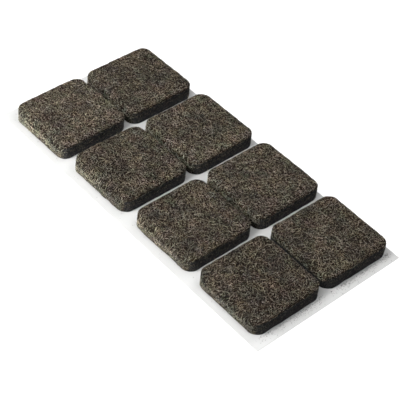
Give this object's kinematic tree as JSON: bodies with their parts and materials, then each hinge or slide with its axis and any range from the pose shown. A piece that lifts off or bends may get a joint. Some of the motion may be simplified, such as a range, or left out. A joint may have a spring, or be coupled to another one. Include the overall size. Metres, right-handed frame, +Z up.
{
  "type": "furniture felt pad sheet",
  "caption": "Sheet of square self-adhesive felt pads with rounded corners on a white release liner; each pad lifts off and sticks under a furniture foot so that it slides.",
  "frame": {"origin": "centre of the release liner's underside", "axes": "+X along the sheet from the first row of pads to the last, +Y across it from the first column to the last, +Z up out of the felt"},
  "size_m": [0.132, 0.0632, 0.0053],
  "materials": {
    "liner": "smooth silicone-coated paper",
    "adhesive": "glossy tacky film",
    "felt": "dense heather felt"
  },
  "bodies": {
    "sheet": {"release_liner": "liner"},
    "pad_1": {"felt_pad_1": "felt", "adhesive_film_1": "adhesive"},
    "pad_2": {"felt_pad_2": "felt", "adhesive_film_2": "adhesive"},
    "pad_3": {"felt_pad_3": "felt", "adhesive_film_3": "adhesive"},
    "pad_4": {"felt_pad_4": "felt", "adhesive_film_4": "adhesive"},
    "pad_5": {"felt_pad_5": "felt", "adhesive_film_5": "adhesive"},
    "pad_6": {"felt_pad_6": "felt", "adhesive_film_6": "adhesive"},
    "pad_7": {"felt_pad_7": "felt", "adhesive_film_7": "adhesive"},
    "pad_8": {"felt_pad_8": "felt", "adhesive_film_8": "adhesive"}
  },
  "joints": [
    {"name": "pad_1_lift", "type": "slide", "parent": "sheet", "child": "pad_1", "axis": [0, 0, 1], "range_m": [0, 0.03]},
    {"name": "pad_2_lift", "type": "slide", "parent": "sheet", "child": "pad_2", "axis": [0, 0, 1], "range_m": [0, 0.03]},
    {"name": "pad_3_lift", "type": "slide", "parent": "sheet", "child": "pad_3", "axis": [0, 0, 1], "range_m": [0, 0.03]},
    {"name": "pad_4_lift", "type": "slide", "parent": "sheet", "child": "pad_4", "axis": [0, 0, 1], "range_m": [0, 0.03]},
    {"name": "pad_5_lift", "type": "slide", "parent": "sheet", "child": "pad_5", "axis": [0, 0, 1], "range_m": [0, 0.03]},
    {"name": "pad_6_lift", "type": "slide", "parent": "sheet", "child": "pad_6", "axis": [0, 0, 1], "range_m": [0, 0.03]},
    {"name": "pad_7_lift", "type": "slide", "parent": "sheet", "child": "pad_7", "axis": [0, 0, 1], "range_m": [0, 0.03]},
    {"name": "pad_8_lift", "type": "slide", "parent": "sheet", "child": "pad_8", "axis": [0, 0, 1], "range_m": [0, 0.03]}
  ]
}
